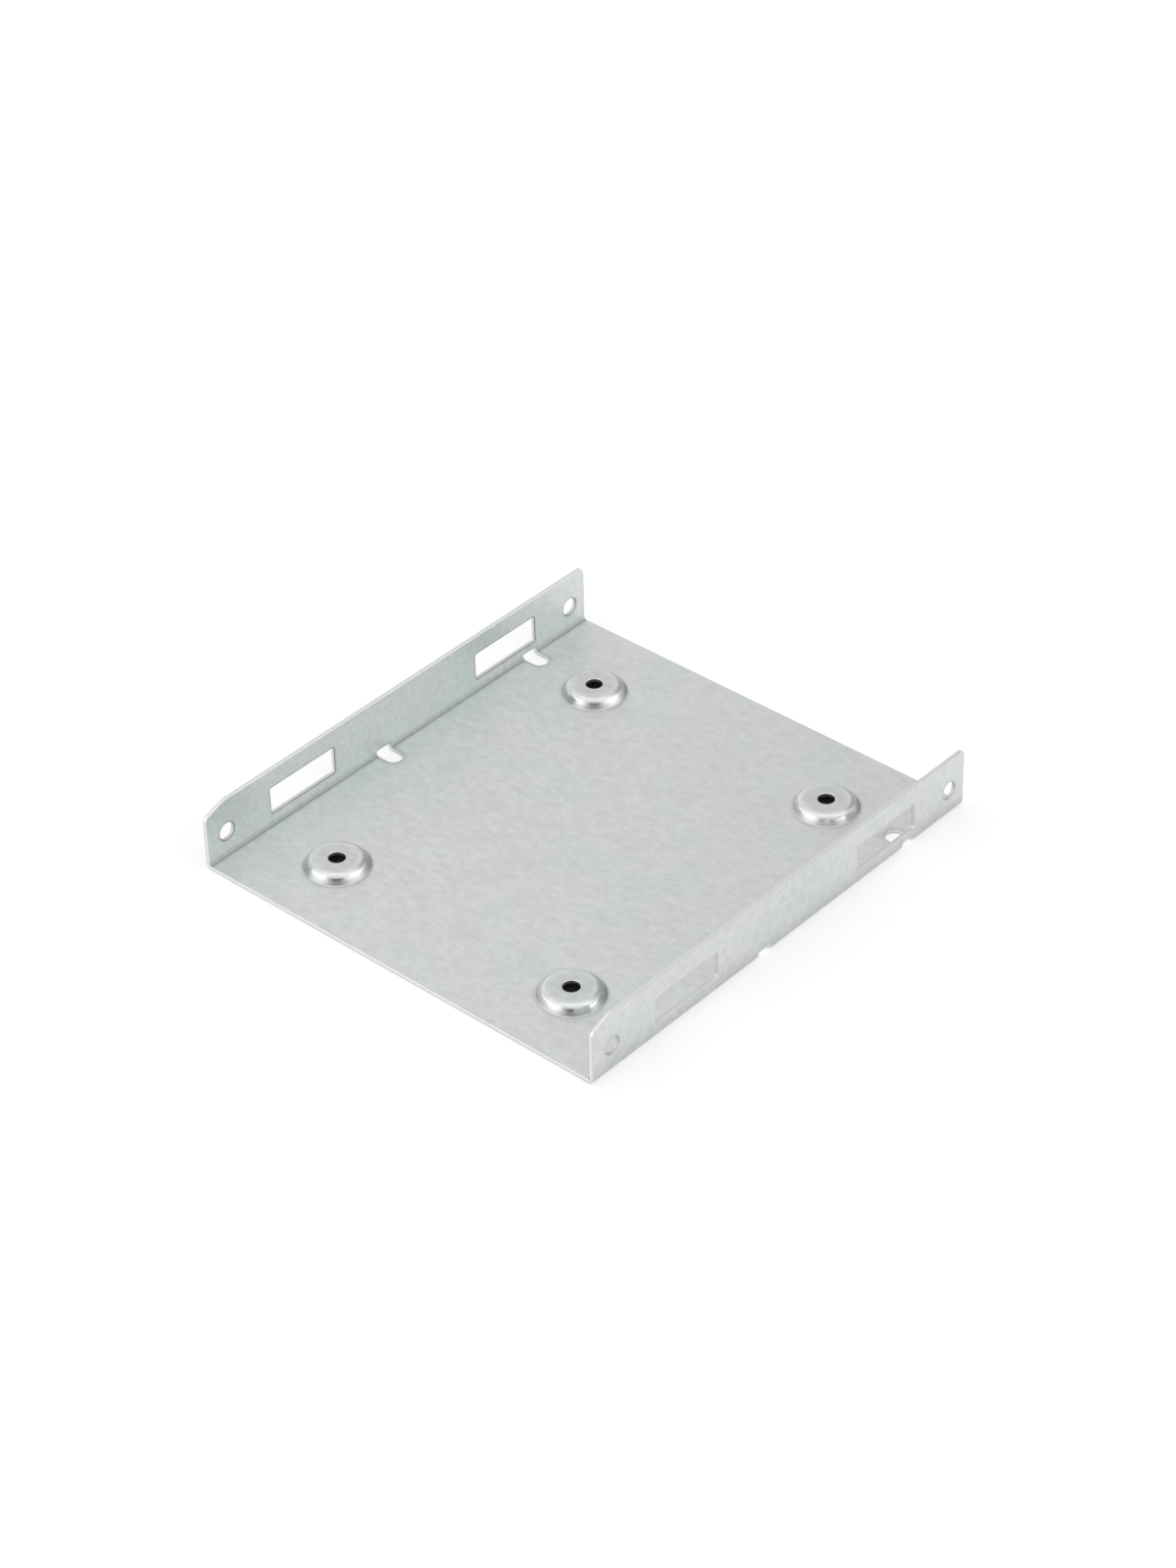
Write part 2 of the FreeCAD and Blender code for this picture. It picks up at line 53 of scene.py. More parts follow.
def in_millimetres(metres):
    """A length of the frame: metres times 1000, to a thousandth of a millimetre."""
    return round(metres * 1000, 3)


def pair(middle, spacing):
    """Two places along the tray: the middle less and plus half the spacing."""
    return (round(middle - spacing / 2, 3), round(middle + spacing / 2, 3))


# Sizes that the frame gives: the outside of the tray and its two patterns of screw holes
mounts = {mount["name"]: mount for mount in frame["record"]["mounts"]}
side_pattern = mounts["right_side_holes"]
drive_pattern = mounts["drive_bosses"]
HALF_WIDTH, HALF_LENGTH, FLANGE_TOP = (in_millimetres(reach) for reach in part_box("bracket")[1])
SIDE_HOLES = pair(in_millimetres(side_pattern["pos_m"][1]), side_pattern["dims"]["spacing_x_mm"])
SIDE_HOLE_HEIGHT = in_millimetres(side_pattern["pos_m"][2])
SIDE_HOLE_RADIUS = side_pattern["dims"]["hole_r_mm"]
BOSSES = pair(in_millimetres(drive_pattern["pos_m"][1]), drive_pattern["dims"]["spacing_y_mm"])
BOSS_ACROSS = drive_pattern["dims"]["spacing_x_mm"] / 2
BOSS_TOP = in_millimetres(drive_pattern["pos_m"][2])
BOSS_HOLE = drive_pattern["dims"]["hole_r_mm"]

# Sheet, and the bend between floor and flange: its outer radius, the radius of the middle of the
# sheet, and where it starts and ends on the blank
SHEET = 0.8
BEND_OUTSIDE = 1.4
BEND_MIDDLE = round(BEND_OUTSIDE - SHEET / 2, 3)
FLOOR_EDGE = HALF_WIDTH - BEND_OUTSIDE
BEND_END = FLOOR_EDGE + BEND_MIDDLE * math.pi / 2

# Windows in the flanges: places along and height of their centres, half height and half length,
# and corner radius
WINDOWS = (-29.1, 31.0)
WINDOW_HEIGHT = 6.6
WINDOW_HALF = np.array([3.075, 9.1])
WINDOW_CORNER = 0.5

# Slots across the bends: places along, place across of their round end in the floor, half width,
# and height of their straight end in the flange
SLOTS = (-6.1, 38.35)
SLOT_CENTRE = 47.2
SLOT_HALF = 1.9
SLOT_TOP = 1.8

# Bosses: a flat top, a round shoulder, a leaning wall and a hollow round foot that meet smoothly,
# so the foot ends at flat + both rounds * cos(draft) + the height of the wall * tan(draft)
BOSS_FLAT = 4.75
BOSS_SHOULDER = 1.5
BOSS_DRAFT = math.radians(30.0)
BOSS_FOOT_ROUND = 0.4
BOSS_ROUNDS = BOSS_SHOULDER + BOSS_FOOT_ROUND
BOSS_WALL_HEIGHT = BOSS_TOP - SHEET - BOSS_ROUNDS * (1 - math.sin(BOSS_DRAFT))
BOSS_WALL_REACH = BOSS_ROUNDS * math.cos(BOSS_DRAFT) + BOSS_WALL_HEIGHT * math.tan(BOSS_DRAFT)
BOSS_FOOT = round(BOSS_FLAT + BOSS_WALL_REACH, 4)

# Flange corners: in front a slant with rounded ends, from this height up to the top of the flange
# and this far in, and at the rear a round
SLANT_HEIGHT = 12.1
SLANT_LENGTH = 5.0
SLANT_LOW_ROUND = 1.5
SLANT_HIGH_ROUND = 4.0
REAR_ROUND = 1.5

# Broken edges: of every cut on the inside, of the bosses' holes, known by their radius, on the
# inside, and of every cut on the outside
EDGE_BREAK = 0.12
BOSS_HOLE_BREAK = 0.15
BOSS_HOLE_REACH = BOSS_HOLE + 0.1
BURR_BREAK = 0.05

# Blocks of the blank that the grid leaves out, for a hole or corner with points of its own: how far
# they reach from the middle of a hole, and the lines along and across that bound the corners
SIDE_HOLE_MARGIN = 3.15
WINDOW_MARGIN = (4.2, 10.3)
SLOT_MARGIN = 2.95
BOSS_MARGIN = 7.93
CORNER_LINE = 10.8
FRONT_CORNER_LINE = -49.0
REAR_CORNER_LINE = 52.6

# How fine the mesh is: grid lines, rings round the holes, and points along arcs and edges
GRID_STEP = 1.6
BEND_STEPS = 12
BEND_LEAD_LINES = (0.8, 0.4)
ROUND_STEPS = 96
SIDE_HOLE_RING = 2.35
WINDOW_RING_GAP = 0.4
WINDOW_SIDE_STEPS = 6
WINDOW_SIDE_LEAST = 1.0
WINDOW_CORNER_STEPS = 8
FLANGE_CORNER_STEPS = 10
SLOT_END_POINTS = 25
BOSS_FLAT_RINGS = (2.15, 2.6, 3.2, 3.8, 4.4)
BOSS_SHOULDER_POINTS = 12
BOSS_WALL_POINTS = 5
BOSS_FOOT_POINTS = 7
BOSS_FLOOR_RINGS = (7.1, 7.25, 7.4, 7.6)
INNER_BREAK_ROWS = 5
OUTER_BREAK_ROWS = 4

# Places that differ by less are the same, what lies this near a block belongs to it, and grid
# lines and points are rounded to so many digits, so that double ones can be merged
SAME_PLACE = 1e-6
BLOCK_REACH = 0.01
LINE_DIGITS = 6
POINT_DIGITS = 5

# One millimetre in metres
MM = 0.001

# How dark and dull the zinc skin is, by radius on a boss and by place across a bend, inside and
# outside. The darkening is painted shade: in the crease inside the bends, on the outside of the
# bends and the lowest few millimetres of the flanges, on the walls and feet of the bosses, and a
# painted contact shadow on the floor round them; the flat tops of the bosses are a little darker
# too. The dullness makes the skin rougher.
BOSS_SHADE_AND_DULLNESS = ((0, 0.17), (3.8, 0.14), (4.3, 0), (6.05, 0), (6.2, 0.12), (6.4, 0.33), (6.6, 0.44),
             (6.8, 0.42), (7.0, 0.33), (7.2, 0.15), (7.6, 0))
# painted shade in the crease inside the bends, with a rougher skin
BEND_SHADE_AND_DULLNESS = ((FLOOR_EDGE - 0.4, 0), (FLOOR_EDGE, 0.2), (FLOOR_EDGE + 0.25, 0.7), (FLOOR_EDGE + 0.6, 0.9),
             (FLOOR_EDGE + 1.0, 0.75), (BEND_END - 0.2, 0.35), (BEND_END + 0.4, 0))
# painted shade on the outside of the bends, fading out 3.5 mm up the flanges
BEND_SHADE_AND_DULLNESS_OUTSIDE = ((FLOOR_EDGE, 0), (FLOOR_EDGE + 0.4, 0.2), (BEND_END - 0.4, 0.27),
                     (BEND_END + 0.9, 0.19), (BEND_END + 2.5, 0.04), (BEND_END + 3.5, 0))

# How much of a rim's painted shade and dullness is left, by row of the cut edge below it
RIM_SHADE_AND_DULLNESS_FADE = ((3, 1), (4, 0.35), (5, 0))

# Lean in degrees at which a boss's skin is fully ironed, and how fast an edge turns to bare steel
DRAWN_LEAN = 40
BARE_GAIN = 1.5


def on_blank(height):
    """Across place on the blank of a point of the flange: bend end + height - outer bend radius."""
    return BEND_END + height - BEND_OUTSIDE


def through(stops, step):
    """Grid lines through the stops, with equal steps between them that are no longer than step."""
    spans = zip(stops, stops[1:])
    parts = [np.linspace(a, b, math.ceil((b - a) / step - SAME_PLACE), endpoint=False) for a, b in spans]
    return np.concatenate(parts + [[stops[-1]]])


def boss_section():
    """Section of a boss from the hole to the floor, as radius, height and lean of the normal.

    Flat top, then radius = flat + round * cos(lean) and height = top - round * (1 - sin(lean)) on
    the shoulder, then the straight wall, then the foot, whose centre lies outside the boss:
    radius = foot - round * cos(lean) and height = sheet + round * (1 - sin(lean)).
    """
    flat = np.array((BOSS_HOLE,) + BOSS_FLAT_RINGS)
    turn = np.linspace(math.pi / 2, BOSS_DRAFT, BOSS_SHOULDER_POINTS)
    back = np.linspace(BOSS_DRAFT, math.pi / 2, BOSS_FOOT_POINTS)
    floor = np.array(BOSS_FLOOR_RINGS)
    shoulder = (BOSS_FLAT + BOSS_SHOULDER * np.cos(turn), BOSS_TOP - BOSS_SHOULDER * (1 - np.sin(turn)))
    foot = (BOSS_FOOT - BOSS_FOOT_ROUND * np.cos(back), SHEET + BOSS_FOOT_ROUND * (1 - np.sin(back)))
    wall = [np.linspace(a[-1], b[0], BOSS_WALL_POINTS)[1:-1] for a, b in zip(shoulder, foot)]
    radius = [flat, shoulder[0], wall[0], foot[0], floor]
    height = [flat * 0 + BOSS_TOP, shoulder[1], wall[1], foot[1], floor * 0 + SHEET]
    lean = [flat * 0 + math.pi / 2, turn, wall[0] * 0 + BOSS_DRAFT, back, floor * 0 + math.pi / 2]
    return np.concatenate(radius), np.concatenate(height), np.concatenate(lean)


SECTION_RADIUS, SECTION_HEIGHT, SECTION_LEAN = boss_section()


def sheet_top(u, v):
    """Inside surface of the folded sheet over the points of the blank.

    In the bend the turn is (u - edge) / middle radius, x = edge + inner radius * sin(turn) and
    z = outer radius - inner radius * cos(turn); the flange goes straight up from there. Round a
    boss the height follows its section, which is turned about the axis of the hole.
    Returns the place, the normal and the direction of u, each as an array of x, y, z.
    """
    side = np.where(u < 0, -1.0, 1.0)
    turn = np.clip((np.abs(u) - FLOOR_EDGE) / BEND_MIDDLE, 0, math.pi / 2)
    inner = BEND_OUTSIDE - SHEET
    x = np.minimum(np.abs(u), FLOOR_EDGE) + inner * np.sin(turn)
    z = BEND_OUTSIDE - inner * np.cos(turn) + np.maximum(np.abs(u) - BEND_END, 0)
    place = np.stack([side * x, v, z], 1)
    normal = np.stack([-side * np.sin(turn), 0 * v, np.cos(turn)], 1)
    across = np.stack([np.cos(turn), 0 * v, side * np.sin(turn)], 1)

    axis_u = side * BOSS_ACROSS
    axis_v = np.where(v < 0, BOSSES[0], BOSSES[1])
    radius = np.hypot(u - axis_u, v - axis_v)
    near = radius < SECTION_RADIUS[-1]
    lean = np.interp(radius, SECTION_RADIUS, SECTION_LEAN)[near]
    round_u = ((u - axis_u) / radius)[near]
    round_v = ((v - axis_v) / radius)[near]
    place[near, 2] = np.interp(radius, SECTION_RADIUS, SECTION_HEIGHT)[near]
    normal[near] = np.stack([round_u * np.cos(lean), round_v * np.cos(lean), np.sin(lean)], 1)
    return place, normal, across


def grid(columns, rows, holes):
    """Two triangles for each cell between the columns and rows, apart from the cells in a hole."""
    u, v = np.meshgrid(columns, rows, indexing="ij")
    index = np.arange(u.size).reshape(u.shape)
    middle_u = (columns[1:] + columns[:-1])[:, None] / 2
    middle_v = (rows[1:] + rows[:-1])[None, :] / 2
    keep = np.ones((len(columns) - 1, len(rows) - 1), bool)
    for low_u, high_u, low_v, high_v in holes:
        keep &= (middle_u < low_u) | (middle_u > high_u) | (middle_v < low_v) | (middle_v > high_v)
    a, b = index[:-1, :-1][keep], index[1:, :-1][keep]
    c, d = index[1:, 1:][keep], index[:-1, 1:][keep]
    faces = np.concatenate([np.stack([a, b, c], 1), np.stack([a, c, d], 1)])
    return np.stack([u.ravel(), v.ravel()], 1), faces


def border(block):
    """Grid points round a block, anticlockwise from its low corner and back to it."""
    low_u, high_u, low_v, high_v = block
    u = COLUMNS[(COLUMNS > low_u - SAME_PLACE) & (COLUMNS < high_u + SAME_PLACE)]
    v = ROWS[(ROWS > low_v - SAME_PLACE) & (ROWS < high_v + SAME_PLACE)]
    sides = [np.stack([u, u * 0 + low_v], 1)[:-1], np.stack([v * 0 + high_u, v], 1)[:-1],
             np.stack([u[::-1], u * 0 + high_v], 1)[:-1], np.stack([v * 0 + low_u, v[::-1]], 1)]
    return np.concatenate(sides)


def lace(outer, inner, outer_turn, inner_turn):
    """Triangles between two rows of points that run the same way, the outer one on the right.

    The points of both rows are taken in the order of their turns, and each closes one triangle
    with the last point of its own row and the last one of the other.
    """
    count = len(outer)
    order = np.argsort(np.concatenate([outer_turn[1:], inner_turn[1:]]), kind="stable")
    of_outer = order < count - 1
    i = np.cumsum(of_outer)
    j = count + np.cumsum(~of_outer)
    with_outer = np.stack([i - 1, i, j], 1)
    with_inner = np.stack([j, j - 1, i], 1)
    return np.concatenate([outer, inner]), np.where(of_outer[:, None], with_outer, with_inner)


def turns(points, centre, half):
    """Turn of each point about the centre, from 0 to 1, on a rectangle drawn out to a square.

    It is the angle of (point - centre) / half over a whole turn, counted from the low corner at
    three eighths of a turn below zero, with a hair added so that this corner never comes out as 1.
    """
    away = (points - centre) / half
    turn = np.arctan2(away[:, 1], away[:, 0]) / (2 * math.pi)
    return (turn + 3 / 8 + 1e-9) % 1.0


def rings(loops):
    """Two triangles for each cell between closed rows of points, the first row innermost."""
    count, size = loops.shape[:2]
    index = np.arange(count * size).reshape(count, size)
    after = np.roll(index, -1, 1)
    a, b, c, d = (part.ravel() for part in (index[:-1], index[1:], after[1:], after[:-1]))
    return loops.reshape(-1, 2), np.concatenate([np.stack([a, b, c], 1), np.stack([a, c, d], 1)])


def framed(block, centre, loops, half):
    """A hole in its block: rings of points round it, laced to the grid points round the block."""
    edge = border(block)
    edge_turn = turns(edge, centre, np.array([block[1] - block[0], block[3] - block[2]]) / 2)
    loops = np.roll(loops, -np.argmin(turns(loops[-1], centre, half)), 1)
    ring = np.concatenate([loops[-1], loops[-1][:1]])
    ring_turn = turns(ring, centre, half)
    edge_turn[-1] = ring_turn[-1] = 1.0
    return [rings(loops), lace(edge, ring, edge_turn, ring_turn)]


def circles(centre, radii):
    """Closed rows of points on circles: centre + radius * (cos, sin) of equal angles."""
    angle = np.linspace(0, 2 * math.pi, ROUND_STEPS, endpoint=False)
    ring = np.stack([np.cos(angle), np.sin(angle)], 1)
    return centre + np.asarray(radii)[:, None, None] * ring


def rounded_corners(corners, radii, steps):
    """Arcs that round every corner of a line but its ends, each touching both sides of its corner.

    The arc's centre lies on the line that halves the corner, at radius / sin(half the angle), and
    a point of it is (sin((1 - share) * sweep) * start + sin(share * sweep) * end) / sin(sweep).
    """
    corners = np.asarray(corners, float)
    arcs = []
    for before, corner, after, radius in zip(corners, corners[1:], corners[2:], radii):
        one = (before - corner) / np.linalg.norm(before - corner)
        two = (after - corner) / np.linalg.norm(after - corner)
        half = math.acos(np.clip(one @ two, -1, 1)) / 2
        middle = (one + two) / np.linalg.norm(one + two)
        centre = corner + middle * radius / math.sin(half)
        start = corner + one * radius / math.tan(half) - centre
        end = corner + two * radius / math.tan(half) - centre
        share = np.linspace(0, 1, steps + 1)[:, None]
        sweep = math.pi - 2 * half
        arc = np.sin((1 - share) * sweep) * start + np.sin(share * sweep) * end
        arcs.append(centre + arc / math.sin(sweep))
    return arcs


def window_outline(centre, gap):
    """Closed row of points round a window grown by a gap: corner arcs, and sides in equal steps."""
    signs = np.array([[1, -1], [1, 1], [-1, 1], [-1, -1], [1, -1], [1, 1]])
    square = signs * (WINDOW_HALF + gap) + centre
    closed = np.concatenate(rounded_corners(square, [WINDOW_CORNER + gap] * 4, WINDOW_CORNER_STEPS))
    following = np.roll(closed, -1, 0)
    span = np.linalg.norm(following - closed, axis=1)
    parts = []
    for start, end, length in zip(closed, following, span):
        steps = WINDOW_SIDE_STEPS if length > WINDOW_SIDE_LEAST else 1
        parts.append(start + (end - start) * np.linspace(0, 1, steps, endpoint=False)[:, None])
    return np.concatenate(parts)


def fraction(path):
    """Share of a line's whole length at each of its points."""
    length = np.concatenate([[0], np.cumsum(np.linalg.norm(np.diff(path, axis=0), axis=1))])
    return length / length[-1]


def stretch(block, first, last):
    """Grid points round a block, anticlockwise from the one nearest first to the one nearest last."""
    edge = border(block)[:-1]
    start = np.argmin(np.abs(edge - first).sum(1))
    edge = np.roll(edge, -start, 0)
    stop = np.argmin(np.abs(edge - last).sum(1))
    return edge[:stop + 1]


def cut_corner(block, corners, radii):
    """A corner of the flange: its outline, laced to the two grid sides that face the flange."""
    arcs = rounded_corners(corners, radii, FLANGE_CORNER_STEPS)
    outline = np.concatenate([corners[:1]] + arcs + [corners[-1:]])
    inner = stretch(block, outline[-1], outline[0])[::-1]
    return [lace(outline, inner, fraction(outline), fraction(inner))]


def slot_end(block, centre):
    """Round end of a slot: centre + half width * (cos, sin), laced to the grid sides round it."""
    angle = np.linspace(math.pi / 2, 3 * math.pi / 2, SLOT_END_POINTS)
    arc = centre + SLOT_HALF * np.stack([np.cos(angle), np.sin(angle)], 1)
    outer = stretch(block, [block[1], block[3]], [block[1], block[2]])
    away = outer - centre
    outer_turn = np.arctan2(away[:, 1], away[:, 0]) % (2 * math.pi)
    outer_turn[0], outer_turn[-1] = angle[0], angle[-1]
    return [lace(outer, arc, outer_turn, angle)]


def around(place_u, place_v, margin_u, margin_v):
    """Block of the blank round a point, as its low and high u and its low and high v."""
    return (place_u - margin_u, place_u + margin_u, place_v - margin_v, place_v + margin_v)


side_hole_blocks = [around(on_blank(SIDE_HOLE_HEIGHT), v, SIDE_HOLE_MARGIN, SIDE_HOLE_MARGIN)
                    for v in SIDE_HOLES]
window_blocks = [around(on_blank(WINDOW_HEIGHT), v, *WINDOW_MARGIN) for v in WINDOWS]
boss_blocks = [around(BOSS_ACROSS, v, BOSS_MARGIN, BOSS_MARGIN) for v in BOSSES]
slot_end_blocks = [(SLOT_CENTRE - SLOT_MARGIN, SLOT_CENTRE, v - SLOT_MARGIN, v + SLOT_MARGIN)
                   for v in SLOTS]
slot_gaps = [(SLOT_CENTRE, on_blank(SLOT_TOP), v - SLOT_HALF, v + SLOT_HALF) for v in SLOTS]
front_corner = (on_blank(CORNER_LINE), on_blank(FLANGE_TOP), -HALF_LENGTH, FRONT_CORNER_LINE)
rear_corner = (on_blank(CORNER_LINE), on_blank(FLANGE_TOP), REAR_CORNER_LINE, HALF_LENGTH)
blocks = side_hole_blocks + window_blocks + boss_blocks + slot_end_blocks + slot_gaps
blocks += [front_corner, rear_corner]

# How dark and dull the skin is at the rims of these openings on the inside, and down their
# walls: painted shade that draws dark lines round the openings, with a rougher skin
RIM_SHADE_AND_DULLNESS = ((side_hole_blocks, 1.0, 0.42), (window_blocks, 1.0, 0), (slot_end_blocks + slot_gaps, 0.35, 0))


def grid_lines(low, high, stops):
    """Grid lines from low to high and through every stop."""
    return through(sorted({round(stop, LINE_DIGITS) for stop in [low, high] + stops}), GRID_STEP)


bend_lines = list(np.linspace(FLOOR_EDGE, BEND_END, BEND_STEPS + 1))
bend_lines += [FLOOR_EDGE - lead for lead in BEND_LEAD_LINES]
COLUMNS = grid_lines(0, on_blank(FLANGE_TOP), [u for block in blocks for u in block[:2]] + bend_lines)
ROWS = grid_lines(-HALF_LENGTH, HALF_LENGTH, [v for block in blocks for v in block[2:]])


def half_blank():
    """Patches of the right half of the blank: the grid, and the holes and corners in their blocks."""
    patches = [grid(COLUMNS, ROWS, blocks)]
    for block, v in zip(side_hole_blocks, SIDE_HOLES):
        centre = np.array([on_blank(SIDE_HOLE_HEIGHT), v])
        patches += framed(block, centre, circles(centre, [SIDE_HOLE_RADIUS, SIDE_HOLE_RING]), np.ones(2))
    for block, v in zip(window_blocks, WINDOWS):
        centre = np.array([on_blank(WINDOW_HEIGHT), v])
        loops = np.stack([window_outline(centre, 0.0), window_outline(centre, WINDOW_RING_GAP)])
        patches += framed(block, centre, loops, WINDOW_HALF + WINDOW_RING_GAP)
    for block, v in zip(boss_blocks, BOSSES):
        centre = np.array([BOSS_ACROSS, v])
        patches += framed(block, centre, circles(centre, SECTION_RADIUS), np.ones(2))
    for block, v in zip(slot_end_blocks, SLOTS):
        patches += slot_end(block, np.array([SLOT_CENTRE, v]))

    low = [on_blank(SLANT_HEIGHT), -HALF_LENGTH]
    high = [on_blank(FLANGE_TOP), SLANT_LENGTH - HALF_LENGTH]
    front_outline = np.array([[front_corner[0], front_corner[2]], low, high,
                              [front_corner[1], front_corner[3]]])
    patches += cut_corner(front_corner, front_outline, [SLANT_LOW_ROUND, SLANT_HIGH_ROUND])
    rear_outline = np.array([[rear_corner[1], rear_corner[2]], [rear_corner[1], rear_corner[3]],
                             [rear_corner[0], rear_corner[3]]])
    patches += cut_corner(rear_corner, rear_outline, [REAR_ROUND])
    return patches


def whole_blank():
    """The right half and its mirror image, with double points merged and empty triangles left out."""
    points, faces, start = [], [], 0
    for patch_points, patch_faces in half_blank():
        points += [patch_points, patch_points * [-1, 1]]
        faces += [patch_faces + start, patch_faces[:, ::-1] + start + len(patch_points)]
        start += 2 * len(patch_points)
    rounded = np.concatenate(points).round(POINT_DIGITS) + 0.0
    points, index = np.unique(rounded, axis=0, return_inverse=True)
    faces = index.reshape(-1)[np.concatenate(faces)]
    same = (faces[:, 0] == faces[:, 1]) | (faces[:, 1] == faces[:, 2]) | (faces[:, 2] == faces[:, 0])
    return points, faces[~same]


def cut_outline(points, faces):
    """Outline of the blank: edges with one triangle, their points, and the way out at each point.

    The way out of an edge is its direction turned a quarter clockwise. At a point it is the sum of
    the ways out of its two edges over 1 + their dot product, so both edges move out equally far.
    """
    count = len(points)
    edges = np.concatenate([faces[:, [0, 1]], faces[:, [1, 2]], faces[:, [2, 0]]])
    keys = edges[:, 0] * count + edges[:, 1]
    open_edges = edges[~np.isin(edges[:, 1] * count + edges[:, 0], keys)]
    run = points[open_edges[:, 1]] - points[open_edges[:, 0]]
    out = np.stack([run[:, 1], -run[:, 0]], 1) / np.linalg.norm(run, axis=1)[:, None]
    leaving, arriving = np.zeros((count, 2)), np.zeros((count, 2))
    leaving[open_edges[:, 0]] = out
    arriving[open_edges[:, 1]] = out
    ring = np.unique(open_edges)
    way_out = (leaving + arriving)[ring] / (1 + (leaving * arriving).sum(1)[ring])[:, None]
    return open_edges, ring, way_out


def edge_rows(top_break):
    """Section of a cut edge from the inside of the sheet to its outside.

    Each break is a quarter circle: offset = -break * (1 - sin(turn)), and the normal leans by
    the same turn. Returns the offset and the depth as rows of points, and the turns.
    """
    inner = np.linspace(0, math.pi / 2, INNER_BREAK_ROWS)
    outer = np.linspace(math.pi / 2, math.pi, OUTER_BREAK_ROWS)
    turn = np.concatenate([inner, outer])[:, None]
    upper = np.arange(len(turn))[:, None] < INNER_BREAK_ROWS
    size = np.where(upper, top_break[None, :], BURR_BREAK)
    offset = -size * (1 - np.sin(turn))
    depth = np.where(upper, SHEET - size * (1 - np.cos(turn)), size * (1 + np.cos(turn)))
    return offset, depth, turn


def from_boss(u, v):
    """Distance on the blank from the axis of the nearest boss."""
    return np.hypot(np.abs(u) - BOSS_ACROSS, np.minimum(np.abs(v - BOSSES[0]), np.abs(v - BOSSES[1])))


def rim_shade_and_dullness(u, v):
    """Painted shade and dullness at points of the outline and down the edge below, by their block."""
    rim, wall = np.zeros(len(u)), np.zeros(len(u))
    for openings, rim_level, wall_level in RIM_SHADE_AND_DULLNESS:
        for low_u, high_u, low_v, high_v in openings:
            near = (np.abs(u) > low_u - BLOCK_REACH) & (np.abs(u) < high_u + BLOCK_REACH)
            near &= (v > low_v - BLOCK_REACH) & (v < high_v + BLOCK_REACH)
            rim[near], wall[near] = rim_level, wall_level
    return rim, wall


def skin_marks_and_shade(u, v, normal, ring, turn):
    """Marks on the skin and painted shade, from 0 to 1: on the inside, the outside and the cut edges.

    drawn: ironed over the punch, as lean / 40 degrees, and round the outside of a bend, as the
    squared sine of the share of the bend. The mark of shade and dullness: painted shade, with a
    rougher skin, from the tables. cut: bare steel, 1.5 * sin(turn) of the edge. torn: the outer part
    of a cut edge.
    """
    across = np.abs(u)
    bend = np.sin(np.clip((across - FLOOR_EDGE) / (BEND_END - FLOOR_EDGE), 0, 1) * math.pi) ** 2
    lean = np.degrees(np.arccos(np.clip(normal[:, 2], 0, 1))) * (across < FLOOR_EDGE)
    drawn = np.clip(lean / DRAWN_LEAN, 0, 1)

    rim, wall = rim_shade_and_dullness(u[ring], v[ring])
    # painted shade, with a rougher skin, on the inside and the outside
    shade_and_dullness = np.maximum(np.interp(from_boss(u, v), *zip(*BOSS_SHADE_AND_DULLNESS)), np.interp(across, *zip(*BEND_SHADE_AND_DULLNESS)))
    shade_and_dullness_outside = np.interp(across, *zip(*BEND_SHADE_AND_DULLNESS_OUTSIDE))
    shade_and_dullness[ring] = np.maximum(rim, shade_and_dullness[ring])
    shade_and_dullness_outside[ring] = np.maximum(wall, shade_and_dullness_outside[ring])

    rows = np.arange(1, len(turn) - 1)[:, None]
    edge = (len(rows), len(ring))
    shade_and_dullness_edge = np.maximum(np.interp(rows, *zip(*RIM_SHADE_AND_DULLNESS_FADE)) * rim, wall)
    cut = np.broadcast_to(np.clip(np.sin(turn[1:-1]) * BARE_GAIN, 0, 1), edge)
    torn = np.broadcast_to(rows >= INNER_BREAK_ROWS, edge)
    skin, bare = np.zeros(2 * len(u)), np.zeros(edge)
    return {"drawn": np.concatenate([drawn, np.maximum(drawn, bend), bare.ravel()]),
            "shade_and_dullness": np.concatenate([shade_and_dullness, shade_and_dullness_outside, shade_and_dullness_edge.ravel()]),
            "cut": np.concatenate([skin, cut.ravel()]),
            "torn": np.concatenate([skin, torn.ravel()])}


